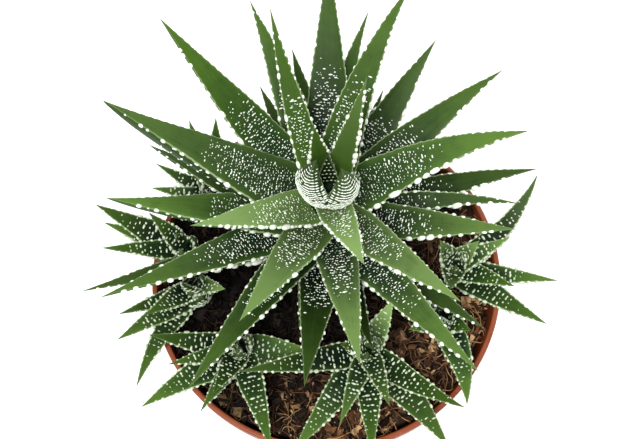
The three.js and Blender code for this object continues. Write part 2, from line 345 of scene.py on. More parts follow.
bark, bench, face, place = start_material("bark", IOR=1.45, Specular_IOR_Level=0.2)
shade = measure(bench, "shade")
rough_grain = bench.grain(place, 420.0, 4.0, 0.6, 0.6)
tint = shade + (rough_grain - 0.5) * 0.8
stops = [(0.0, (0.008, 0.005, 0.003)), (0.48, (0.046, 0.02, 0.009)),
         (0.74, (0.16, 0.07, 0.027)), (0.95, (0.52, 0.33, 0.16))]
wood = bench.node("ValToRGB", {"stops": stops}, Fac=tint).out("Color")
dress(face, painted_soil_shade_and_light(bench, wood, place), 0.55 + rough_grain * 0.35,
      bumped(bench, rough_grain, 0.7, 0.8 * MM))

fibre, bench, face, place = start_material("fibre", IOR=1.45, Specular_IOR_Level=0.2)
shade = measure(bench, "shade")
fuzz = bench.grain(place, 700.0, 3.0)
straw = bench.mix(shade, (0.07, 0.025, 0.012), (0.52, 0.3, 0.13))
straw = bench.mix(fuzz.smooth(0.4, 0.7) * 0.4, straw, (0.13, 0.06, 0.03))
dress(face, painted_soil_shade_and_light(bench, straw, place), 0.6 + fuzz * 0.3)
print("peat, bark and fibre ready")

# %% [markdown]
# Pot, stems, soil bed and floor are turned shapes. One helper turns a profile of radius and height
# about an upright axis. A closed profile starts and ends at radius 0, where its point becomes a
# single pole, so no seam stays open.


# %% Turning a profile
def turn_into(shape, profile, sides, x=0.0, y=0.0):
    rings = []
    for radius, height in profile:
        count = sides if radius > 1e-6 else 1
        ring = []
        for i in range(count):
            angle = 2 * math.pi * i / sides
            ring.append(shape.verts.new((
                (x + radius * math.cos(angle)) * MM,
                (y + radius * math.sin(angle)) * MM,
                height * MM)))
        rings.append(ring)
    for low, high in zip(rings, rings[1:]):
        for i in range(sides):
            a, b = low[i % len(low)], low[(i + 1) % len(low)]
            c, d = high[(i + 1) % len(high)], high[i % len(high)]
            corners = list(dict.fromkeys([a, b, c, d]))
            if len(corners) > 2:
                shape.faces.new(corners)


def mesh_from(shape, name, material):
    bmesh.ops.recalc_face_normals(shape, faces=shape.faces)
    for polygon in shape.faces:
        polygon.smooth = True
    mesh = bpy.data.meshes.new(name)
    shape.to_mesh(mesh)
    shape.free()
    mesh.materials.append(material)
    return mesh


def settle(piece, slot, *nodes):
    """The piece rides on the one body and hides the solids that it replaces; slot is not used."""
    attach(piece, "root")
    if nodes:
        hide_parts(*nodes)
    faces = len(piece.data.loop_triangles) or len(piece.data.polygons)
    print(piece.name, "faces", faces)


# %% [markdown]
# A nursery pot is thin plastic, pressed in one piece: a tapered wall, a flat floor with drain
# holes and a stepped band that stiffens the rim. The profile repeats the CAD's numbers and rounds
# each corner with a small arc.

# %% Pot profile
RIM_RADIUS = 52.5
RIM_BAND = 9.0
RIM_STEP = 1.8
RIM_WALL = 1.6
RIM_ROUND = 0.6
BASE_RADIUS = 35.0
WALL = 1.5
FLOOR = 2.2
BASE_ROUND = 1.2
BAND_FOOT = RIM - RIM_BAND
STEP_FOOT = BAND_FOOT - 0.8


def wall_radius(height):
    return BASE_RADIUS + (RIM_RADIUS - RIM_STEP - BASE_RADIUS) * min(height / BAND_FOOT, 1.0)


def arc(radius, height, size, start, stop, steps=5):
    """Points of a rounded corner; angles in degrees, 0 pointing outwards and 90 up."""
    points = []
    for i in range(steps + 1):
        angle = math.radians(start + (stop - start) * i / steps)
        points.append((radius + size * math.cos(angle), height + size * math.sin(angle)))
    return points


profile = [(0, 0), (20, 0), (28, 0)]
profile += arc(wall_radius(BASE_ROUND) - BASE_ROUND, BASE_ROUND, BASE_ROUND, -90, -4)
profile += [(wall_radius(h), h) for h in (10, 25, 40, 55, 70)]
profile += [(wall_radius(BAND_FOOT), BAND_FOOT)]
profile += arc(RIM_RADIUS - 0.8 - 0.5, BAND_FOOT + 0.6, 0.5, -90, -5, 3)
profile += arc(RIM_RADIUS - RIM_ROUND, RIM - RIM_ROUND, RIM_ROUND, 0, 90)
profile += arc(RIM_RADIUS - RIM_WALL + 0.45, RIM - 0.45, 0.45, 90, 180)
profile += [(wall_radius(BAND_FOOT) - WALL, STEP_FOOT)]
profile += [(wall_radius(h) - WALL, h) for h in (60, 40, 20)]
profile += arc(wall_radius(FLOOR + 1) - WALL - 1.0, FLOOR + 1.0, 1.0, 0, -90, 4)
profile += [(28, FLOOR), (20, FLOOR), (0, FLOOR)]
shape = bmesh.new()
turn_into(shape, profile, 160)
pot_mesh = mesh_from(shape, "pot_shell", pot_plastic)
print("pot profile of", len(profile), "points, rim wall", RIM_WALL, "mm")

# %% [markdown]
# Everything that repeats is made by Geometry Nodes. A rule is a small tree with named inputs.
# start_rule makes the tree and hands back its inputs as wires. end_rule closes it with Realize
# Instances and Set Material. run_rule puts it on a holder as a modifier, sets each input by its
# identifier, reads the result as a plain mesh and throws the holder away.


# %% Starting, ending and running a rule
class RuleBench(Bench):
    """A bench for Geometry Nodes, with the steps that the rules repeat."""

    prefix = "GeometryNode"

    def where(self):
        return self.node("InputPosition")

    def moved(self, geometry, **how):
        return self.node("SetPosition", Geometry=geometry, **how)

    def copies(self, points, shape, **how):
        """Real copies of one shape, set on the points."""
        made = self.node("InstanceOnPoints", Points=points, Instance=shape, **how)
        return self.node("RealizeInstances", Geometry=made)

    def soft(self, geometry):
        return self.node("SetShadeSmooth", Geometry=geometry)

    def store(self, geometry, kind="FLOAT", domain="POINT", **values):
        settings = {"data_type": kind, "domain": domain}
        for name, value in values.items():
            geometry = self.node("StoreNamedAttribute", settings, Geometry=geometry,
                                 Name=name, Value=value)
        return geometry

    def named(self, name, kind="FLOAT"):
        return self.node("InputNamedAttribute", {"data_type": kind}, Name=name)

    def chance(self, low, high, seed):
        """A fixed random number for each point or instance."""
        return self.node("FunctionNodeRandomValue", Min=low, Max=high, Seed=seed).out("Value")


def key(name):
    return name.lower().replace(" ", "_")


def start_rule(title, lengths, numbers, wholes, objects=""):
    """The names of the inputs come in one text for each kind, with commas between them."""
    tree = bpy.data.node_groups.new(title, "GeometryNodeTree")
    tree.interface.new_socket("Geometry", in_out="OUTPUT", socket_type="NodeSocketGeometry")
    bench = RuleBench(tree)
    entry = bench.node("NodeGroupInput")
    given = SimpleNamespace()
    for listed, kind in (("Geometry", "Geometry"), (lengths, "Float"), (numbers, "Float"),
                         (wholes, "Int"), (objects, "Object"), ("Finish", "Material")):
        for name in filter(None, listed.split(", ")):
            socket = tree.interface.new_socket(name, socket_type="NodeSocket" + kind)
            if listed is lengths:
                socket.subtype = "DISTANCE"
            setattr(given, key(name), entry.out(name))
    return bench, given


def end_rule(bench, geometry, finish):
    whole = bench.node("RealizeInstances", Geometry=geometry)
    dressed = bench.node("SetMaterial", Geometry=whole, Material=finish)
    bench.node("NodeGroupOutput", Geometry=dressed)
    return bench.tree


def run_rule(rule, name, mesh, finish, **values):
    """Inputs are given by name, with _ for a space, and lengths in millimetres."""
    values["finish"] = finish
    holder = placed(mesh, name + "_holder")
    modifier = holder.modifiers.new("rule", "NODES")
    modifier.node_group = rule
    for item in rule.interface.items_tree:
        if item.in_out == "INPUT" and key(item.name) in values:
            value = values[key(item.name)]
            is_length = getattr(item, "subtype", "") == "DISTANCE"
            modifier[item.identifier] = value * MM if is_length else value
    graph = bpy.context.evaluated_depsgraph_get()
    made = bpy.data.meshes.new_from_object(
        holder.evaluated_get(graph), preserve_all_data_layers=True, depsgraph=graph)
    holder.modifiers.remove(modifier)
    bpy.data.objects.remove(holder)
    made.name = name
    return placed(made, name)


print("rules ready")

# %% [markdown]
# The drain holes are one hole repeated on a circle. The rule sets a drill on each point of the
# circle and takes them all from the shell in one Mesh Boolean.

# %% Drain holes
bench, given = start_rule("drain holes", "Hole Radius, Circle Radius, Depth", "", "Holes")
circle = bench.node("MeshCircle", Vertices=given.holes, Radius=given.circle_radius)
drill = bench.node("MeshCylinder", Vertices=24, Radius=given.hole_radius, Depth=given.depth)
drilled = bench.node("MeshBoolean", {"operation": "DIFFERENCE"},
                     Mesh_1=given.geometry, Mesh_2=bench.copies(circle, drill))
drain_rule = end_rule(bench, drilled, given.finish)
pot_piece = run_rule(drain_rule, "pot_body", pot_mesh, pot_plastic,
                     holes=6, hole_radius=3.2, circle_radius=24.0, depth=12.0)
settle(pot_piece, "pot_plastic", "pot")

# %% [markdown]
# The soil is loose bark and peat. A closed bed lies in the place of the CAD's soil, with the same
# gentle lumps and some fine crumb. It is turned like the pot, with many rings on top, which are
# then raised point by point.

# %% Bed of soil
SOIL_DROP = 6.2
SOIL_BUMP = 0.8
SOIL_LUMP = 21.0
SOIL_BANK = 2.2
BANK_FOOT = 36.0
BANK_TOP = 46.0
GAP = 0.3
SOIL_EDGE = wall_radius(STEP_FOOT) - WALL - GAP


def soil_height(x, y):
    turn = 2 * math.pi / SOIL_LUMP
    broad = math.sin(turn * x + 1) * math.cos(turn * y)
    gentle = math.sin(turn * (0.6 * x - 1.4 * y))
    climb = min(1.0, max(0.0, (math.hypot(x, y) - BANK_FOOT) / (BANK_TOP - BANK_FOOT)))
    bank = SOIL_BANK * climb * climb * (3.0 - 2.0 * climb)
    return RIM - SOIL_DROP + bank + SOIL_BUMP * (0.6 * broad + 0.4 * gentle)


top = RIM - SOIL_DROP
profile = [(0.0, FLOOR + GAP), (wall_radius(FLOOR + GAP) - WALL - GAP - 0.8, FLOOR + GAP),
           (SOIL_EDGE, STEP_FOOT), (SOIL_EDGE, top - 0.2)]
profile += [(SOIL_EDGE * ring / 48, top) for ring in range(48, -1, -1)]
shape = bmesh.new()
turn_into(shape, profile, 128)
for corner in shape.verts:
    if corner.co.z > (top - 0.1) * MM:
        x, y = corner.co.x / MM, corner.co.y / MM
        crumbs = noise.fractal(Vector((x, y, 0.0)) * 0.45, 0.8, 2.2, 4)
        inside = min(1.0, max(0.0, (SOIL_EDGE - math.hypot(x, y)) / 3.0))
        corner.co.z = (soil_height(x, y) + 0.5 * crumbs * inside - 0.4) * MM
bed_piece = placed(mesh_from(shape, "soil_bed", peat))
settle(bed_piece, "bark_soil", "soil")

# %% [markdown]
# Bark chips, shards and fibres lie on the bed, each one shape repeated many times, so each is a
# rule. Points are strewn over the bed's top, a chip or a short strand is set on each with a random
# turn and size, and noise bends every copy another way. Anything that would cross the pot's wall
# is drawn back inside.


# %% Strewing rules
ANY_TURN = 6.283


def kept_inside(bench, geometry, limit):
    """Draw points that lie beyond the limit back towards the axis."""
    x, y, z = bench.parts(bench.where())
    reach = (x * x + y * y) ** 0.5
    pull = (limit / reach.most(1e-6)).least(1.0)
    return bench.moved(geometry, Position=bench.point(x * pull, y * pull, z))


def strewn_points(bench, given):
    up = bench.parts(bench.node("InputNormal"))[2].over(0.6)
    points = bench.node("DistributePointsOnFaces", Mesh=given.geometry,
                        Selection=up, Density=given.density, Seed=given.seed)
    return bench.store(points, shade=bench.chance(0.0, 1.0, 11) ** given.shade_power)


def set_down(bench, points, shape, turn, size, height):
    """A copy on each point, turned, sized and lifted."""
    lifted = bench.moved(points, Offset=bench.point(0.0, 0.0, height))
    rotation = bench.node("FunctionNodeEulerToRotation", Euler=turn)
    return bench.copies(lifted, shape, Rotation=rotation, Scale=size)


def jostled(bench, geometry, size, depth):
    """Push every point a little, as a cloud of this grain size says."""
    cloud = bench.grain(bench.where(), size, 2.0).out("Color")
    shift = bench.scaled(bench.vector("SUBTRACT", cloud, (0.5, 0.5, 0.5)), depth)
    return bench.moved(geometry, Offset=shift)


bench, given = start_rule("bark chips", "Length, Limit, Lift", "Density, Shade Power", "Seed")
points = strewn_points(bench, given)
chip = bench.node("MeshCube", Size=(1.0, 0.5, 0.24), Vertices_X=3, Vertices_Y=3)
turn = bench.point(bench.chance(-0.55, 0.55, 1), bench.chance(-0.6, 0.6, 2),
                   bench.chance(0.0, ANY_TURN, 3))
long = given.length * (0.4 + bench.chance(0.0, 1.0, 4) ** 2.0)
size = bench.point(long, long * bench.chance(0.5, 1.1, 5), long * bench.chance(0.5, 1.3, 6))
chips = set_down(bench, points, chip, turn, size, bench.chance(0.0, 1.0, 7) * given.lift)
broken = jostled(bench, jostled(bench, chips, 260.0, 4.5 * MM), 900.0, 1.2 * MM)
chip_rule = end_rule(bench, kept_inside(bench, broken, given.limit), given.finish)

bench, given = start_rule("fibres", "Length, Limit, Lift, Thickness, Bend",
                          "Density, Shade Power", "Seed")
points = strewn_points(bench, given)
strand = bench.node("CurvePrimitiveLine", Start=(-0.5, 0.0, 0.0), End=(0.5, 0.0, 0.0))
strand = bench.node("ResampleCurve", Curve=strand, Count=10)
turn = bench.point(0.0, bench.chance(-0.35, 0.35, 21), bench.chance(0.0, ANY_TURN, 22))
long = given.length * (0.35 + bench.chance(0.0, 1.0, 23))
strands = set_down(bench, points, strand, turn, long, bench.chance(0.2, 1.0, 24) * given.lift)
wavy = kept_inside(bench, jostled(bench, strands, 90.0, given.bend), given.limit)
ends = bench.node("SplineParameter")
thin_ends = ends.smooth(0.0, 0.2) * ends.smooth(1.0, 0.8)
swept = bench.node("CurveToMesh", Curve=wavy, Fill_Caps=True,
                   Profile_Curve=bench.node("CurvePrimitiveCircle", Resolution=5),
                   Scale=given.thickness * (0.25 + thin_ends * 0.75))
fibre_rule = end_rule(bench, bench.soft(swept), given.finish)
print("strewing rules ready")

# %% Strewing the chips and fibres
INNER = RIM_RADIUS - RIM_WALL
for piece in (
        run_rule(chip_rule, "bark_chips", bed_piece.data, bark, density=30000.0, seed=5,
                 shade_power=1.4, length=6.0, limit=INNER - 1.2, lift=1.8),
        run_rule(chip_rule, "bark_shards", bed_piece.data, bark, density=420000.0, seed=8,
                 shade_power=1.0, length=2.4, limit=INNER - 1.0, lift=2.6),
        run_rule(fibre_rule, "bark_fibres", bed_piece.data, fibre, density=160000.0, seed=9,
                 shade_power=1.5, length=8.0, limit=INNER - 0.6, lift=3.8, thickness=0.13,
                 bend=9.0)):
    settle(piece, "bark_soil")

# %% [markdown]
# Each row holds one leaf, in the order of COLUMNS: heading, rise above level, length, width,
# height of the root over the rim, change of rise and of heading from root to tip, twist at the
# tip, how far the root stands off the stem, and how much thicker than usual it is. USUAL fills in
# what a row leaves out. The numbers are the CAD's own, so the skins lie where the solids are, and
# the oldest leaves, which take the most painted shade, come first. PALE gives some a pale cast,
# PAINTED_LIGHT paints shade on some leaves and light on others, DRY is the share dried brown at
# the tip, and PACE spaces the teeth. CURLED are the two youngest full leaves, curled up in the
# middle, BUD opens behind them, and PLAIN have no dots.
# HEART holds three short pale leaves for the middle of each offset, too small for the CAD.

# %% Rows of the leaves
COLUMNS = ("heading", "rise", "length", "width", "height", "bow", "sweep", "twist", "stand",
           "plump")
USUAL = (0,) * 9 + (1.0,)
MAIN_AXIS = (0.5, 15.0)
MAIN_LEAVES = [
    (228, 8, 36, 14, 1), (255, 9, 34, 14, 1), (11, 16, 66, 13.5, 2, -8, -16), (68, 10, 47, 9, 2),
    (116, 10, 49, 12, 3), (199, 10, 77, 12, 3), (287, 14, 46, 11, 4), (132, 12, 60, 12, 4),
    (359, 18, 59, 8.5, 7, 0, -32, 30), (102, 14, 55, 13, 6, 0, 8), (57, 22, 64, 15, 6, 0, -8),
    (319, 18, 61, 13, 6), (263, 20, 59, 15, 6), (78, 24, 65, 11, 7, 0, -24, 20),
    (161, 16, 58, 15, 8, 0, -12, 30), (237, 22, 75, 14, 9, -4, 6),
    (36, 22, 68, 15.5, 10, -6, -12), (307, 22, 72, 14, 10), (347, 24, 59, 14, 11),
    (112, 25, 68, 14, 12, -6, 6), (208, 20, 75, 14.5, 13, -6, 0, 18), (90, 32, 75, 16.5, 14),
    (279, 26, 59, 14, 14), (184, 22, 67, 16.5, 14, -4, -8, 26, 0, 1.4),
    (137, 30, 75, 16, 16, -6, -3, 12, 0, 1.4), (12.3, 28, 65, 15.5, 18, -8, -28),
    (164, 30, 74, 20, 19, -8, -6, 36, 0, 1.5), (312, 32, 61, 13.5, 20), (242, 34, 60, 14.5, 20),
    (65, 40, 70, 13, 21, -6, -28), (204, 34, 49, 13.5, 23, 0, 0, 16),
    (111, 42, 61, 9.5, 23, -4, -14, -25), (288, 40, 39, 11, 28),
    (63, 64, 44, 9, 27, 0, 0, -30, 3), (109, 68, 27, 9, 27, 0, 0, 0, 3),
    (214, 84, 27, 15, 36, 50, 0, 30, 1.2, 1.1), (318, 82, 22, 14.5, 36.5, 56, 0, -26, 1.2, 1.2),
    (95, 70, 17.5, 7.5, 32, 12, 0, 0, -1),
]
OFFSETS = {
    "offset_back_left": ((-34, 25), [
        (154, 16, 21, 6, 2), (180, 25, 21, 6, 1), (111, 35, 25, 8, 3), (88, 35, 25, 8, 2),
        (240, 70, 14, 7, 4),
    ]),
    "offset_left": ((-42, 7), [
        (159, 25, 31, 10, 4), (165, 20, 27, 8, 2), (152, 60, 21, 7, 6), (189, 28, 27, 7, 5),
        (212, 20, 13, 9, 1),
    ]),
    "offset_front_left": ((-39, -5), [
        (212, 35, 29, 7, 4), (229, 45, 26, 8, 6), (221, 25, 31, 9, 1), (332, 50, 18, 7, 8),
        (242, 7, 35, 8, 1, -14, 24), (251, 75, 20, 7, 6), (296, 72, 22, 10, 2, 0, 0, 0, 2),
    ]),
    "offset_front": ((-25, -23), [
        (177, 24, 29, 9, 2), (214, 14, 35, 11, 1, -8, 8), (243, 25, 26, 7, 2),
        (202, 30, 25, 7, 4), (287, 14, 34, 9, 1, -12), (214, 78, 13, 7, 6), (248, 40, 24, 8, 3),
        (356, 13, 22, 11, 1),
    ]),
    "offset_front_right": ((12, -24), [
        (194, 20, 41, 9, 3), (236, 20, 42, 10, 2), (251, 28, 30, 7, 5), (271, 18, 35, 9, 2),
        (285, 36, 26, 7, 6), (307, 14, 39, 12, 1, -6, -14), (324, 22, 36, 9, 3, 0, 14),
        (59, 42, 19, 8, 5), (329, 20, 18, 7, 1), (195, 60, 17, 8, 5),
    ]),
    "offset_right_small": ((34, -14), [
        (243, 74, 16, 6, 4), (281, 20, 31, 10, 3, 0, -30), (202, 25, 12, 7, 1),
        (328, 30, 11, 8, 3),
    ]),
    "offset_right": ((38, 2), [
        (44, 26, 38, 8, 5, 0, 45), (18, 35, 20, 7, 5), (349, 14, 32, 8, 1), (330, 30, 22, 8, 4),
        (321, 20, 35, 9.5, 2, 0, 6), (257, 50, 19, 8, 5), (140, 60, 13, 8, 5), (35, 50, 13, 8, 4),
    ]),
}
HEART = [(20, 86, 12, 5.5, 3.5, 34, 0, 0, 1.3), (140, 88, 13, 5.5, 3.5, 34, 0, 0, 1.3),
         (262, 82, 12, 6, 3.5, 34, 0, 0, 1.3)]
HEART_PALE = 0.42
PALE = {16: 0.06, 17: 0.14, 18: 0.2, 22: 0.36, 25: 0.1, 27: 0.4, 28: 0.37, 30: 0.58, 32: 0.7,
        33: 0.15, 35: 0.12, 36: 0.2}
OFFSET_PALE = {"offset_front_left": {3: 0.5, 6: 0.12}, "offset_front": {5: 0.4, 7: 0.12},
               "offset_front_right": {7: 0.5, 4: 0.1}, "offset_right": {1: 0.2, 6: 0.4, 7: 0.3}}
# Painted shade below 1 and painted light above 1, for single leaves.
PAINTED_LIGHT = {6: 0.4, 11: 0.5, 12: 0.55, 14: 0.65, 16: 0.9, 17: 1.1, 20: 1.05, 21: 0.88, 23: 1.5,
       24: 1.15, 25: 1.3, 35: 0.6, 36: 0.8, 37: 0.35}
DRY = {11: 0.03, 22: 0.05, 23: 0.02, 13: 0.03}
PACE = {26: 1.2, 29: 0.85, 30: 0.7, 31: 0.8, 32: 0.42, 33: 0.7, 34: 0.6}
PLAIN = (33, 34)
CURLED = (35, 36)
BUD = 37
print(len(MAIN_LEAVES), "leaves on the big rosette,",
      sum(len(leaves) for _, leaves in OFFSETS.values()), "on the offsets")

# %% [markdown]
# The rows become points: one vertex for each leaf, which carries the row's numbers as attributes.
# Points can be made for some of the leaves alone, because the curled ones and the bud have beads
# of their own.


# %% Points that carry the rows
DEGREE = math.pi / 180
UNITS = {"heading": DEGREE, "rise": DEGREE, "bow": DEGREE, "sweep": DEGREE, "twist": DEGREE,
         "length": MM, "width": MM, "plump": 1.0}


def leaf_points(axis, leaves, chosen=None, first=0, **marks):
    kept = chosen or range(len(leaves))
    rows = [dict(zip(COLUMNS, (*leaves[i], *USUAL[len(leaves[i]):]))) for i in kept]
    spots = []
    for row in rows:
        heading = row["heading"] * DEGREE
        spots.append(((axis[0] + row["stand"] * math.cos(heading)) * MM,
                      (axis[1] + row["stand"] * math.sin(heading)) * MM,
                      (RIM + row["height"]) * MM))
    mesh = bpy.data.meshes.new("leaf_points")
    mesh.from_pydata(spots, [], [])
    columns = {title: [row[title] * unit for row in rows] for title, unit in UNITS.items()}
    columns["number"] = [float(first + i) for i in kept]
    # Unless marked, painted shade: lit grows from 0.5 on the oldest, lowest leaves up to 1.
    usual = {"tone": [0.03 * (i % 3) for i in kept],
             "lit": [min(1.0, 0.5 + 0.028 * i) for i in kept],
             "dry": [0.012] * len(kept), "pace": [1.0] * len(kept)}
    for title, numbers in usual.items():
        marked = marks.get(title, {})
        columns[title] = [marked.get(i, number) for i, number in zip(kept, numbers)]
    for title, numbers in columns.items():
        mesh.attributes.new(title, "FLOAT", "POINT").data.foreach_set("value", numbers)
    return mesh


SPREAD = [i for i in range(len(MAIN_LEAVES)) if i not in (*CURLED, BUD)]
DOTTED = [i for i in SPREAD if i not in PLAIN]
main_points = leaf_points(MAIN_AXIS, MAIN_LEAVES, tone=PALE, lit=PAINTED_LIGHT, dry=DRY)
spread_points = leaf_points(MAIN_AXIS, MAIN_LEAVES, SPREAD, pace=PACE)
dotted_points = leaf_points(MAIN_AXIS, MAIN_LEAVES, DOTTED)
curled_points = leaf_points(MAIN_AXIS, MAIN_LEAVES, CURLED)
bud_points = leaf_points(MAIN_AXIS, MAIN_LEAVES, [BUD])
offset_points = {}
for name, (axis, leaves) in OFFSETS.items():
    grown = leaves + HEART
    # Painted light for each offset leaf, between 0.8 and 1.3.
    offset_painted_light = {i: 0.8 + 0.1 * (i * 5 % 6) for i in range(len(grown))}
    cast = {i: HEART_PALE for i in range(len(leaves), len(grown))}
    offset_points[name] = leaf_points(axis, grown, first=20, lit=offset_painted_light,
                                      tone={**cast, **OFFSET_PALE.get(name, {})})
print("points for", 1 + len(offset_points), "rosettes")

# %% [markdown]
# The leaf rule sets a flat grid on every point: one way runs along the leaf, the other round it.
# The midrib is a running sum of small steps, each in the direction that the leaf has there, so a
# bent leaf keeps its length. Round it goes a section with sharp edges, a nearly flat, slightly
# hollow upper side and a keeled underside. A sine counted in millimetres notches the edges. The
# end rings shrink to points, and Merge by Distance closes the seam and both ends.

# %% Leaf rule
CHART_STEP = 0.9


def narrowing(along):
    """The share of the full width that the leaf has at this place along it."""
    return ((1.0 - along ** 1.8).most(0.0) ** 1.15) * along.smooth(0.0, 0.25, 0.8, 1.0)


bench, given = start_rule("leaves", "Notch, Notch Pitch", "Thickness, Crown, Channel",
                          "Stations, Sides")
grid = bench.node("MeshGrid", Vertices_X=given.stations, Vertices_Y=given.sides + 1.0)
x, y, _ = bench.parts(bench.where())
rooted = bench.store(given.geometry, "FLOAT_VECTOR", root=bench.where())
sheets = bench.copies(rooted, bench.store(grid, along=x + 0.5, turn=y + 0.5))
leaf = SimpleNamespace(**{name: bench.named(name) for name in (
    "heading", "rise", "length", "width", "bow", "sweep", "twist", "plump", "number", "along",
    "turn")})
along = leaf.along


def lie(t):
    """Rise and heading of the leaf at t."""
    return leaf.rise + leaf.bow * (t - 0.5), leaf.heading + leaf.sweep * (t - 0.5)


step = 1.0 / (given.stations - 1.0)
rise, way = lie(along + step * 0.5)
stride = leaf.length * step
forward = bench.point(rise.cos() * way.cos() * stride, rise.cos() * way.sin() * stride,
                      rise.sin() * stride)
strip = (leaf.number * 200.0 + leaf.turn * given.sides).maths("ROUND")
walked = bench.node("AccumulateField", {"data_type": "FLOAT_VECTOR"},
                    Value=forward, Group_ID=strip).out("Trailing")
midrib = bench.vector("ADD", bench.named("root", "FLOAT_VECTOR"), walked)

rise, way = lie(along)
roll = leaf.twist * along
side = bench.point(-way.sin(), way.cos(), 0.0)
above = bench.point(-(rise.sin() * way.cos()), -(rise.sin() * way.sin()), rise.cos())
across_way = bench.vector("ADD", bench.scaled(side, roll.cos()), bench.scaled(above, roll.sin()))
over_way = bench.vector("SUBTRACT", bench.scaled(above, roll.cos()),
                        bench.scaled(side, roll.sin()))

taper = narrowing(along)
thinning = (1.0 - along ** 2.2).most(0.0) ** 0.8
closing = (along * 80.0 - 0.001).most(0.0).least(1.0) ** 0.5
angle = leaf.turn * (2 * math.pi) - math.pi / 2
across, upper = angle.cos(), angle.sin()
half = leaf.width * 0.5 * taper * closing
crown = leaf.width * taper * given.crown * upper.most(0.0)
hollow = (leaf.width * taper * given.channel * (1.0 - across * across)
          * (1.0 - along) * upper.over(0.0))
keel = (leaf.width * leaf.plump * given.thickness * thinning * closing
        * ((-upper).most(0.0) ** 1.35))
beat = along * leaf.length / given.notch_pitch + leaf.number * 0.37 + across * 0.2
notch = ((beat * (2 * math.pi)).sin() * given.notch * (across * across) ** 2.0
         * half.smooth(0.2 * MM, 1.8 * MM) * along.smooth(0.1, 0.3))
spread = bench.scaled(across_way, (half + notch) * across)
height = bench.scaled(over_way, (crown - hollow) * closing - keel)
sheets = bench.moved(sheets, Position=bench.vector(
    "ADD", midrib, bench.vector("ADD", spread, height)))
sheets = jostled(bench, sheets, 130.0, taper * (1.1 * MM) * closing)
sheets = bench.store(sheets, across=across, upper=upper, margin=(1.0 - abs(across)) * half / MM)
chart = bench.point(along, leaf.number + leaf.turn * CHART_STEP, 0.0)
sheets = bench.store(sheets, "FLOAT2", "CORNER", leaf_map=chart)
closed = bench.node("MergeByDistance", Geometry=sheets, Distance=0.002 * MM)
leaf_rule = end_rule(bench, bench.soft(closed), given.finish)
print("leaf rule:", len(leaf_rule.nodes), "nodes")


# %% Growing the leaves
def outward(piece):
    """Turn the faces round if the closed skins enclose a negative volume."""
    shape = bmesh.new()
    shape.from_mesh(piece.data)
    volume = shape.calc_volume(signed=True)
    if volume < 0:
        bmesh.ops.reverse_faces(shape, faces=shape.faces)
        shape.to_mesh(piece.data)
    open_edges = sum(1 for e in shape.edges if len(e.link_faces) != 2)
    shape.free()
    print(piece.name, "volume", round(volume * 1e6, 2), "ml, open edges", open_edges)


SHAPE = {"thickness": 0.3, "crown": 0.05, "channel": 0.07}
main_skin = run_rule(leaf_rule, "main_rosette_leaves", main_points, leaf_skin,
                     stations=110, sides=16, notch=0.13, notch_pitch=2.4, **SHAPE)
outward(main_skin)
offset_skins = {}
for name, points in offset_points.items():
    offset_skins[name] = run_rule(leaf_rule, name + "_leaves", points, leaf_skin,
                                  stations=60, sides=16, notch=0.1, notch_pitch=1.9, **SHAPE)
    outward(offset_skins[name])

# %% [markdown]
# The white beads come in three families: small dots in a patch of the upper side, larger teeth
# along both edges, and on the underside rows of broad beads that run together into cross bands.
# One rule makes all three. A lattice of sites on each leaf, measured in millimetres along and
# across it, is thinned by chance and by a window along the leaf, then laid on the skin by Sample
# UV Surface, which gives the place, the normal and the leaf's direction there. A bead is set on
# each site and stretched. Teeth that face the front catch more light and are bigger: the input
# Front.


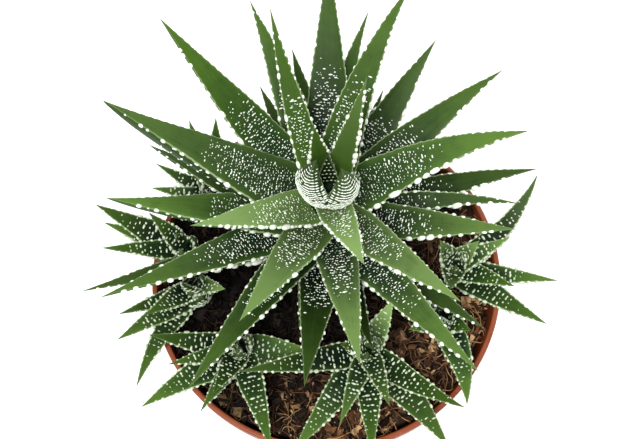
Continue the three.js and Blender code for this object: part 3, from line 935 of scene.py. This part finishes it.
# %% Bead rule
def bead_rule(title, side):
    """side is 1 for the upper side, -1 for the underside and 0 for the two edges."""
    bench, given = start_rule(
        title, "Pitch, Spacing, Long, Wide, High, Sink",
        "Start, Stop, Fade, Reach, Keep, Jitter, Vary, Stretch, Root Size, Tip Size, Front",
        "Rows, Columns, Seed", "Skin")

    def luck(low, high, step):
        return bench.chance(low, high, given.seed * 10.0 + step)

    grid = bench.node("MeshGrid", Vertices_X=given.rows, Vertices_Y=given.columns)
    x, y, _ = bench.parts(bench.where())
    grid = bench.store(grid, row=((x + 0.5) * (given.rows - 1.0)).maths("ROUND"), column=y)
    sites = bench.copies(given.geometry, grid)
    row, column, number, length, width = [
        bench.named(name) for name in ("row", "column", "number", "length", "width")]
    loose = given.jitter
    pitch = given.pitch * bench.named("pace") if side == 0 else given.pitch
    shift = (number * 0.37).maths("FRACT")
    along = (row + 0.5 + shift * 0.5 + luck(-0.5, 0.5, 1) * loose) * pitch / length
    if side == 0:
        turn = 0.5 + (column * 2.0) * (0.25 + given.reach)
        allowed = along.under(given.stop)
    else:
        odd = row.maths("MODULO", 2.0)
        spot = (column * (given.columns - 1.0) + odd * 0.5 - 0.25
                + luck(-0.5, 0.5, 2) * loose) * given.spacing
        out = spot / (width * 0.5 * narrowing(along.least(1.0))).most(0.1 * MM)
        share = out.maths("ARCCOSINE") / (2 * math.pi)
        turn = (0.25 + side * share + 1.0).maths("FRACT")
        allowed = along.under(given.stop) * abs(out).under(given.reach)
    density = (along.smooth(given.start, given.start + 0.08)
               * along.smooth(given.stop - given.fade, given.stop, 1.0, 0.0)
               * given.keep)
    kept = allowed * luck(0.0, 1.0, 3).under(density)
    sites = bench.store(sites, bead_along=along.most(0.004).least(0.992),
                        bead_turn=turn.most(0.002).least(0.998))
    sites = bench.node("DeleteGeometry", Geometry=sites, Selection=1.0 - kept)

    skin = bench.node("ObjectInfo", Object=given.skin).out("Geometry")
    chart = bench.named("leaf_map", "FLOAT_VECTOR")
    t, turn = bench.named("bead_along"), bench.named("bead_turn")

    def on_skin(value, t):
        place = bench.point(t, number + turn * CHART_STEP, 0.0)
        return bench.node("SampleUVSurface", {"data_type": "FLOAT_VECTOR"},
                          Mesh=skin, Value=value, UV_Map=chart, Sample_UV=place)

    here = on_skin(bench.where(), t)
    ahead = on_skin(bench.where(), t + 0.006)
    normal = on_skin(bench.node("InputNormal"), t)
    way = bench.node("FunctionNodeAxesToRotation", {"primary_axis": "Z", "secondary_axis": "Y"},
                     Primary_Axis=normal, Secondary_Axis=bench.vector("SUBTRACT", ahead, here))
    sites = bench.store(sites, "QUATERNION", bead_way=way)
    frontal = bench.parts(normal)[1].smooth(-0.2, -0.85, 1.0, given.front)
    sites = bench.store(sites, found=here.out("Is Valid"), frontal=frontal)
    lay = bench.vector("SUBTRACT", here, bench.scaled(normal, given.sink))
    laid = bench.node("DeleteGeometry", Geometry=bench.moved(sites, Position=lay),
                      Selection=bench.named("found").under(0.5))
    if side == 0:
        bead = bench.node("MeshUVSphere", Segments=8, Rings=5)
    else:
        bead = bench.node("MeshIcoSphere", Subdivisions=1)
    big = 1.0 - given.vary * 0.45 + luck(0.0, 1.0, 4) ** 1.5 * given.vary
    big = big * t.smooth(0.0, 0.5, given.root_size, 1.0)
    big = big * t.smooth(0.5, 1.0, 1.0, given.tip_size) * bench.named("frontal")
    drawn = big * (1.0 + luck(0.0, 1.0, 5) ** 3.0 * given.stretch)
    wide, long = (big, drawn) if side == 0 else (drawn, big)
    size = bench.point(given.wide * wide, given.long * long, given.high * big)
    beads = bench.copies(laid, bead, Scale=size, Rotation=bench.named("bead_way", "QUATERNION"))
    beads = jostled(bench, beads, 1500.0, given.high * 0.9)
    return end_rule(bench, bench.soft(beads), given.finish)


dot_rule = bead_rule("dots", 1)
band_rule = bead_rule("bands", -1)
tooth_rule = bead_rule("teeth", 0)
print("bead rules:", [len(rule.nodes) for rule in (dot_rule, band_rule, tooth_rule)], "nodes")

# %% [markdown]
# On the big rosette the dots are fine and fill an oval patch from the root to past the middle of
# the blade. The teeth stand about 3 mm apart, and the bands share that pitch. The curled leaves
# have bands so close that their backs are nearly white, and the bud behind them has straight rows
# of small dots on a dark face.

# %% Beads of the big rosette
USUAL_BEADS = {"spacing": 0.0, "start": 0.0, "vary": 0.6, "stretch": 0.0, "root_size": 1.0,
               "tip_size": 0.5, "front": 1.0}
MAIN_BEADS = {
    "dots": (dot_rule, dotted_points, dict(
        rows=48, columns=15, pitch=0.98, spacing=0.9, start=0.02, stop=0.64, fade=0.22,
        reach=0.72, keep=0.9, jitter=0.65, long=0.19, wide=0.235, high=0.17, sink=0.02,
        vary=0.9, stretch=1.4, root_size=0.65, seed=3)),
    "teeth": (tooth_rule, spread_points, dict(
        rows=30, columns=2, pitch=3.1, stop=0.97, fade=0.1, reach=0.014, keep=1.0, jitter=0.5,
        long=0.58, wide=0.36, high=0.38, sink=0.06, vary=0.9, stretch=0.7, front=1.75,
        root_size=0.8, tip_size=0.58, seed=4)),
    "bands": (band_rule, spread_points, dict(
        rows=25, columns=9, pitch=3.2, spacing=1.5, stop=0.9, fade=0.25, reach=0.97, keep=0.92,
        jitter=0.28, long=0.45, wide=0.95, high=0.3, sink=0.05, seed=5)),
    "curls": (band_rule, curled_points, dict(
        rows=32, columns=23, pitch=1.12, spacing=0.68, start=0.02, stop=0.95, fade=0.1,
        reach=0.985, keep=0.97, jitter=0.16, long=0.31, wide=0.66, high=0.22, sink=0.02,
        vary=0.35, seed=6)),
    "bud": (dot_rule, bud_points, dict(
        rows=12, columns=7, pitch=1.5, spacing=1.15, start=0.1, stop=0.92, fade=0.1, reach=0.85,
        keep=1.0, jitter=0.12, long=0.28, wide=0.42, high=0.2, sink=0.03, vary=0.4, seed=11)),
}
main_pearls = [
    run_rule(rule, "main_rosette_" + title, points, pearl_white, skin=main_skin,
             **{**USUAL_BEADS, **values})
    for title, (rule, points, values) in MAIN_BEADS.items()]

# %% [markdown]
# The offsets are younger plants: their dots are nearly as big as the teeth, stand in fewer columns
# and cover the whole blade. The beads of one offset are joined into a single piece.


# %% Beads of the offsets
def joined(name, parts):
    """One mesh from several, for pieces that always go together."""
    shape = bmesh.new()
    for part in parts:
        shape.from_mesh(part.data)
        bpy.data.objects.remove(part)
    return placed(mesh_from(shape, name, pearl_green))


OFFSET_BEADS = {
    "dots": (dot_rule, dict(
        rows=25, columns=7, pitch=1.65, spacing=1.4, stop=0.88, fade=0.3, reach=0.78, keep=0.92,
        jitter=0.5, long=0.31, wide=0.37, high=0.27, sink=0.03, vary=0.8, stretch=1.3,
        tip_size=0.4, seed=7)),
    "teeth": (tooth_rule, dict(
        rows=20, columns=2, pitch=2.2, stop=0.96, fade=0.15, reach=0.008, keep=1.0, jitter=0.4,
        long=0.5, wide=0.32, high=0.36, sink=0.05, vary=0.8, stretch=0.8, front=1.4,
        tip_size=0.4, seed=8)),
    "bands": (band_rule, dict(
        rows=15, columns=7, pitch=2.6, spacing=1.3, stop=0.94, fade=0.15, reach=0.97, keep=0.95,
        jitter=0.25, long=0.45, wide=0.85, high=0.32, sink=0.05, seed=9)),
}
offset_pearls = []
for name, points in offset_points.items():
    parts = [run_rule(rule, f"{name}_{title}", points, pearl_green, skin=offset_skins[name],
                      **{**USUAL_BEADS, **values})
             for title, (rule, values) in OFFSET_BEADS.items()]
    offset_pearls.append(joined(name + "_pearls", parts))

# %% [markdown]
# Each rosette stands on a short stem, hidden from above but needed where one looks in from the
# side. Then every plant piece rides on the body and takes the place of its CAD solid, and the
# numbers that only the beads needed are taken off the skins.

# %% Stems, and settling the plants
MAIN_STEM = [(0, RIM - 18), (6, RIM - 18), (6.0, RIM + 25), (4.4, RIM + 29.5),
             (2.4, RIM + 34.5), (0, RIM + 39)]
OFFSET_STEM = [(0, RIM - 18), (3, RIM - 18), (3, RIM + 1), (2, RIM + 3.5), (1, RIM + 5.5),
               (0, RIM + 6)]
shape = bmesh.new()
turn_into(shape, MAIN_STEM, 32, *MAIN_AXIS)
for axis, _ in OFFSETS.values():
    turn_into(shape, OFFSET_STEM, 20, *axis)
stems = mesh_from(shape, "stems", leaf_skin)
# The stems take painted shade: the keel side's darker green and lit 0.6.
for title, value in (("along", 0.05), ("across", 0.0), ("upper", -0.3), ("margin", 3.0),
                     ("lit", 0.6)):
    stems.attributes.new(title, "FLOAT", "POINT").data.foreach_set(
        "value", [value] * len(stems.vertices))
settle(placed(stems), "leaf")

KEPT = ("along", "across", "upper", "margin", "tone", "lit", "dry", "number", "sharp_face",
        "sharp_edge", "material_index")
for name, skin in {"main_rosette": main_skin, **offset_skins}.items():
    marks = skin.data.attributes
    for title in [m.name for m in marks
                  if m.name not in KEPT and not m.is_internal and not m.is_required]:
        marks.remove(marks[title])
    settle(skin, "leaf", name)
for piece in main_pearls + offset_pearls:
    settle(piece, "leaf")

# %% [markdown]
# A plain pale floor and soft studio light: a broad lamp above and to the front left, a weaker one
# behind, and an even white surround. The floor is round and curves up into a low wall some metres
# away, so no view from the side shows its end. It is a stage, not part of the object.

# %% Floor, light and tone
floor_white, bench, face, place = start_material(
    "floor_white", Roughness=0.9, Emission_Color=(1, 1, 1, 1), Emission_Strength=0.5)
plug(face["Base Color"], bench.mix(bench.grain(place, 6.0) * 0.3, (0.76, 0.76, 0.76),
                                   (0.8, 0.8, 0.8)))
COVE_FOOT = 3400.0
COVE_BEND = 500.0
COVE_TOP = 800.0
shape = bmesh.new()
profile = [(0, 0), (300, 0), (1500, 0)]
profile += arc(COVE_FOOT, COVE_BEND, COVE_BEND, -90, 0, 12)
profile += [(COVE_FOOT + COVE_BEND, COVE_TOP)]
turn_into(shape, profile, 96)
floor = placed(mesh_from(shape, "floor", floor_white))


def soft_lamp(name, place, target, size, power):
    lamp = bpy.data.lights.new(name, "AREA")
    lamp.shape = "DISK"
    lamp.size = size
    lamp.energy = power
    holder = placed(lamp)
    holder.location = place
    holder.rotation_euler = (Vector(target) - Vector(place)).to_track_quat("-Z", "Y").to_euler()


soft_lamp("key_light", (-0.22, -0.45, 1.25), (0.0, 0.0, 0.09), 0.55, 19.0)
soft_lamp("back_light", (0.5, 0.7, 0.9), (0.0, 0.0, 0.09), 0.6, 6.0)
world = bpy.data.worlds.new("studio")
world.use_nodes = True
sky = world.node_tree.nodes["Background"].inputs
sky["Color"].default_value = (1, 1, 1, 1)
sky["Strength"].default_value = 0.5
bpy.context.scene.world = world
bpy.context.scene.view_settings.view_transform = "Standard"
print("floor, two lamps and a white surround")
